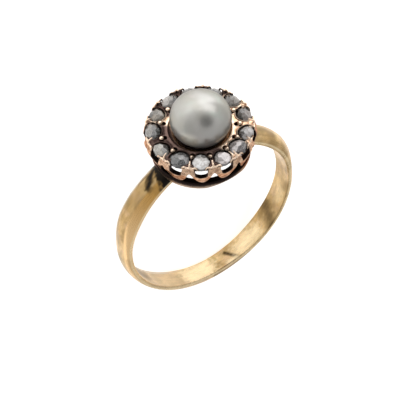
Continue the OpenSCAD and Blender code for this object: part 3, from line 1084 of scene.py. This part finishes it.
class HeadSpots:
    """Vertices of a head piece in the ring's frame, and how far each zone and mark holds them."""

    def __init__(self, mesh, near, wide):
        self.points = (vertex_values(mesh, "co") - RING_NP[:3, 3]) @ (RING_NP[:3, :3] / MM ** 2)
        normals = vertex_values(mesh, "normal") @ (RING_NP[:3, :3] / MM)
        x, y, self.height = self.points.T
        self.radius = np.hypot(x, y)
        self.angle = np.degrees(np.arctan2(y, x))
        self.outward = (normals[:, 0] * x + normals[:, 1] * y) / np.maximum(self.radius, 0.1)
        spots = self.points + SPOT_OUT * normals
        self.near = sample(near, spots)
        self.wide = sample(wide, spots)
        self.find_zones()
        self.find_marks()

    def find_zones(self):
        radius, height = self.radius, self.height
        self.on_plate = rising(height, *PLATE_LEVEL) * falling(radius, *PLATE_WITHIN)
        self.inside = falling(height, *PLATE_LEVEL) * falling(radius, *INSIDE_WITHIN)
        self.on_wall = rising(radius, *WALL_BEYOND) * falling(height, *WALL_BELOW)
        self.turned_away = self.on_wall * falling(self.outward, *TURNED_AWAY)
        self.base = falling(height, *BASE_BELOW)
        self.low_edge = falling(height, *LOW_EDGE_BELOW)
        self.tall = rising(height, *TALL_ABOVE)
        self.bright = sum(sector(self.angle, *where) * share for where, share in BRIGHT_SECTORS)
        self.far = sector(self.angle, *FAR_SECTOR) * rising(height, *PLATE_LEVEL)

    def find_marks(self):
        radius, height = self.radius, self.height
        off_stone, pearl_side = stone_edge_distance(self.points)
        uneven = np.sin(self.angle * 0.31 + 1.0) * np.sin(self.angle * 0.83) * np.cos(radius * 5.0)
        # Dark lines round the stones, painted shade, wider on the pearl side
        reach = DARK_LINE_REACH * (1 + 0.5 * uneven + 0.9 * pearl_side)
        dark_lines = stripe(off_stone, DARK_LINE_AT, reach, DARK_LINE_PEAK)
        self.round_stones = dark_lines * (height > SEAT_Z - 0.1)
        collars = stripe(off_stone, *COLLAR_LINE) * rising(height, PLATE_Z, 0.05)
        self.collars = collars * (1 - 0.7 * pearl_side)
        self.lips, self.grooves = lip_values(self.points)
        from_bead = bead_distance(self.points)
        # Bead tops get a painted highlight
        self.bead_tops = falling(from_bead, 1.6 * BEAD_R, BEAD_R) * rising(height, PLATE_Z + 0.1, 0.08)
        near_plate = (height > PLATE_LEVEL[0]) * (height < PLATE_Z + 0.12)
        # Dark rings at the beads' feet, painted shade
        self.bead_feet = stripe(from_bead, *BEAD_FOOT_LINE) * near_plate
        self.cup_lip = stripe(radius, *CUP_LIP_LINE) * rising(height, PLATE_Z - 0.03, 0.04)


def painted_recess_shade(at):
    """Painted shade where metal stands close around."""
    return np.clip((at.wide - 0.45) * 2.0 + (at.near - 0.5) + 0.25, 0, 1) * (at.height > BASE_Z + 0.3)


def worn_and_lit_edges(at):
    """Worn edges with painted highlights, weaker on the outside of the wall, and painted highlights on bead
    tops, the cup's lip, the collars, the lips and the base's low edge.
    """
    outside = rising(at.radius, *OUTSIDE_BEYOND) * falling(at.height, *OUTSIDE_BELOW)
    edge = falling(at.near, *EDGE_SHARE) * (1 - 0.7 * outside)
    return np.maximum.reduce([edge, at.bead_tops, at.cup_lip, 0.8 * at.collars, at.lips, 0.3 * at.low_edge])


def tarnish_and_painted_shade(at, edge):
    """Brown tarnish on the plate, less in the bright sectors, with painted shade inside, on faces turned
    away and on the far side, more low on the wall and below its top, none on the base's low edge, and rubbed
    off edges and tips.
    """
    tarnish_and_shade = np.clip(at.on_plate * (1 - at.bright) + at.inside + at.turned_away + 0.12 + 0.8 * at.far, 0, 1)
    low_wall = falling(at.height, *LOW_WALL_BELOW)
    wall_top = stripe(at.height, *WALL_TOP_LINE)
    tarnish_and_shade = (tarnish_and_shade + at.on_wall * (0.35 * low_wall + 0.5 * wall_top)) * (1 - at.low_edge)
    rubbed = edge * (0.15 + 0.65 * at.bright) * (1 - 0.6 * at.far)
    tips = np.maximum(at.bead_tops, edge * at.tall)
    return tarnish_and_shade * (1 - rubbed) * (1 - 0.75 * tips)


def painted_dark_shade(at, edge):
    """Painted black shade round the stones and beads, in the grooves, on the base, inside, on faces turned
    away and on the far rim.
    """
    dark = 0.95 * at.base * (1 - at.low_edge) ** 0.7 + 0.5 * at.inside + 0.75 * at.turned_away
    dark = dark + 0.9 * at.round_stones + 0.85 * at.grooves + 0.75 * at.bead_feet
    far_rim = at.far * rising(at.radius, *FAR_RIM_BEYOND) * (1 - 0.8 * edge) * (1 - at.tall)
    return np.clip(dark + 0.8 * far_rim, 0, 1)


def make_head_piece(name, values, near, wide, material):
    points, faces = mesh_of(values)
    head = add_piece(name, points, faces, ["band_and_setting"])
    thin(head)
    spots = HeadSpots(head.data, near, wide)
    edge = worn_and_lit_edges(spots)
    wear_and_light = [painted_recess_shade(spots), tarnish_and_painted_shade(spots, edge), edge, painted_dark_shade(spots, edge)]
    add_values(head, "head_wear_and_painted_light", np.stack(wear_and_light, 1))
    head.data.materials.append(material)


def make_head():
    """The pierced gallery and the stone plate, from one field of metal round the head."""
    gallery, plate = head_fields()
    metal = np.clip(0.5 - np.minimum(gallery, plate) / (2 * CELL), 0, 1)
    near = blurred(metal, round(NEAR_BLUR / CELL))
    wide = blurred(metal, round(WIDE_BLUR / CELL))
    material = rose_gold_material()
    for name, values in (("pierced_gallery", gallery), ("stone_plate", plate)):
        make_head_piece(name, values, near, wide, material)


# Pearl

PEARL_AROUND = 144
PEARL_UP = 72
# Waves of its skin: depth as a share of its size, how often they repeat, and the noise's offset
PEARL_WAVE = 0.015
PEARL_WAVES = 1.3
PEARL_WAVES_AT = (4, 1, 7)


def pearl_point(turn, up):
    d = Vector((sin(up) * cos(turn), sin(up) * sin(turn), -cos(up)))
    wave = noise.noise(d * PEARL_WAVES + Vector(PEARL_WAVES_AT))
    shrink = 1 - PEARL_WAVE * (0.5 + 0.5 * wave)
    sizes = (PEARL_R, PEARL_R, PEARL_HALF_H)
    return [at + size * shrink * part for at, size, part in zip(PEARL_AT, sizes, d)]


def make_pearl():
    n = PEARL_AROUND
    points = [pearl_point(0.0, 0.0)]
    for j in range(1, PEARL_UP):
        points += [pearl_point(tau * i / n, pi * j / PEARL_UP) for i in range(n)]
    points.append(pearl_point(0.0, pi))
    last = len(points) - 1
    faces = [(0, 1 + (i + 1) % n, 1 + i) for i in range(n)]
    faces += tube_faces(1, PEARL_UP - 1, n)
    faces += [(last - n + i, last - n + (i + 1) % n, last) for i in range(n)]
    pearl = add_piece("grey_pearl", points, faces, ["pearl"])
    pearl.data.materials.append(pearl_material())
    return pearl


# Diamonds

OUTLINE_N = 12
MID_SCALE = 0.8
MID_RISE = 0.5
MID_FOLLOWS = 0.4
TABLE_SCALE = 0.34
FACET_BEVEL = 0.014
STONE_SWELL = 1.035
# The table's normal points up at least so much, and the belt's and the base's at most so much
TABLE_UP = 0.97
BELT_UP = 0.2
# Painted reflections and shade of the facets: degrees over which light facets turn dark, random spread, and
# painted shade of some facets
TONE_SOFT = 20.0
FACET_SPREAD = 0.5
TABLE_SPREAD = 0.1
PEARL_SIDE_SHADE = 0.5
PEARL_SIDE_FALL = 2.2
BELT_SHADE = 0.3


def stone_outline(width, length, scale=1.0, shift=(0.0, 0.0)):
    """Outline of a diamond as (outward, sideways), narrower on the pearl's side."""
    outline = []
    for i in range(OUTLINE_N):
        a = tau * i / OUTLINE_N
        side = sin(a) * (1 + OUTLINE_TAPER * cos(a))
        outline.append((scale * length / 2 * cos(a) + shift[0], scale * width / 2 * side + shift[1]))
    return outline


def stone_body(index, turn):
    """Rose cut: a flat base, an upright belt, and facets up to a small table."""
    _, _, width, length = STONES[index]
    centre = STONE_EDGE_R - length / 2
    size = (width * STONE_SWELL, length * STONE_SWELL)
    shift = STONE_LOOKS[index][5]
    mid_shift = [part * MID_FOLLOWS for part in shift]
    low = SEAT_Z + STONE_GAP
    levels = [
        (stone_outline(*size), low),
        (stone_outline(*size), low + BELT_H),
        (stone_outline(*size, MID_SCALE, mid_shift)[::2], low + BELT_H + (STONE_H - BELT_H) * MID_RISE),
        (stone_outline(*size, TABLE_SCALE, shift)[::2], low + STONE_H),
    ]
    body = bmesh.new()
    base, belt, middle, table = [[body.verts.new(turn @ Vector((x + centre, y, z))) for x, y in outline]
                                 for outline, z in levels]
    body.faces.new(list(reversed(base)))
    body.faces.new(table)
    for i in range(OUTLINE_N):
        j = (i + 1) % OUTLINE_N
        body.faces.new((base[i], base[j], belt[j], belt[i]))
    for i in range(OUTLINE_N // 2):
        j = (i + 1) % (OUTLINE_N // 2)
        a, g, b = belt[2 * i], belt[2 * i + 1], belt[2 * j]
        body.faces.new((middle[i], a, g))
        body.faces.new((middle[i], g, middle[j]))
        body.faces.new((middle[j], g, b))
        body.faces.new((middle[i], middle[j], table[j], table[i]))
    bmesh.ops.bevel(body, geom=body.edges[:], offset=FACET_BEVEL, segments=1, affect="EDGES")
    body.normal_update()
    body.verts.index_update()
    return body


def painted_facet_tone(normal, turn, looks):
    """Painted reflection of a facet: light or dark by its direction, with some chance in it, and painted
    shade on the pearl side, the belt and the base.
    """
    dark, light, toward, spread, table_share, _ = looks
    if normal.z > TABLE_UP:
        share, wander, shade = table_share, TABLE_SPREAD, 1.0
    else:
        off = (degrees(atan2(normal.y, normal.x)) - toward + 180) % 360 - 180
        share = min(max((spread - abs(off)) / TONE_SOFT + 0.5, 0.0), 1.0)
        wander = FACET_SPREAD
        inward = -(turn.transposed() @ normal).x
        shade = 1 - PEARL_SIDE_SHADE * min(max(inward * PEARL_SIDE_FALL, 0.0), 1.0)
    if normal.z < BELT_UP:
        shade *= BELT_SHADE
    share = min(max(share + RNG.uniform(-wander, wander), 0.0), 1.0)
    return [(d + (l - d) * share) * shade for d, l in zip(dark, light)] + [1.0]


def make_diamond(index, material):
    turn = Matrix.Rotation(radians(STONES[index][0]), 3, "Z")
    body = stone_body(index, turn)
    points = [tuple(v.co) for v in body.verts]
    faces = [[v.index for v in f.verts] for f in body.faces]
    tones = [painted_facet_tone(f.normal, turn, STONE_LOOKS[index]) for f in body.faces]
    body.free()
    number = "%02d" % (index + 1)
    stone = add_piece("rose_cut_" + number, points, faces, ["diamond_" + number], smooth=False)
    add_values(stone, "painted_facet_tone", tones, "FACE")
    stone.data.materials.append(material)
    return stone


# Stage, lights and camera

def make_stage():
    bpy.ops.mesh.primitive_plane_add(size=FLOOR_SIZE, location=(0, 0, 0))
    floor = bpy.context.object
    floor.name = "floor"
    floor.data.materials.append(floor_material())


def make_world():
    """Even studio light, dimmer from below and round the place where the photographer stands."""
    s = Shader(bpy.data.worlds.new("studio"), "Background")
    direction = s.node("ShaderNodeTexCoord").outputs["Generated"]
    levels = [s.ramp(s.measure("DOT_PRODUCT", direction, toward), *limits)
              for toward, limits in ((seen_direction(*DIM_AT), DIM_RANGE), (VIEW_AXES[1], LOW_RANGE))]
    bpy.context.scene.world = s.finish(Color=(1, 1, 1), Strength=s.times(*levels))


def make_light(name, toward, distance, size, power):
    """A softbox seen from the pearl in a direction, with its width along the camera's right."""
    light = bpy.data.lights.new(name, "AREA")
    light.shape = "RECTANGLE"
    light.size, light.size_y = size
    light.energy = power
    lamp = add_object(name, light)
    back = seen_direction(*toward)
    right = (VIEW_AXES[0] - VIEW_AXES[0].dot(back) * back).normalized()
    turn = turn_to(right, back.cross(right), back)
    lamp.matrix_world = Matrix.Translation(RING @ Vector(PEARL_AT) + back * distance) @ turn


def make_camera():
    """Camera at the photo's place, shifted so that the ring sits where the photo has it."""
    data = bpy.data.cameras.new("camera")
    data.sensor_width = SENSOR_MM
    data.lens = VIEW_DISTANCE * PX_PER_MM * SENSOR_MM / PHOTO_SIDE
    data.shift_x = (PHOTO_SIDE / 2 - ORIGIN_PX[0]) / PHOTO_SIDE
    data.shift_y = (ORIGIN_PX[1] - PHOTO_SIDE / 2) / PHOTO_SIDE
    data.clip_start, data.clip_end = CLIP
    camera = add_object("camera", data)
    eye = RING.translation + VIEW_AXES[2] * VIEW_DISTANCE * MM
    camera.matrix_world = Matrix.Translation(eye) @ turn_to(*VIEW_AXES)
    bpy.context.scene.camera = camera


make_camera()
make_stage()
make_world()
for row in LIGHTS:
    make_light(*row)
make_band()
make_head()
make_pearl()
diamond = diamond_material()
for stone_index in range(len(STONES)):
    make_diamond(stone_index, diamond)
bpy.context.scene.view_settings.view_transform = "Standard"
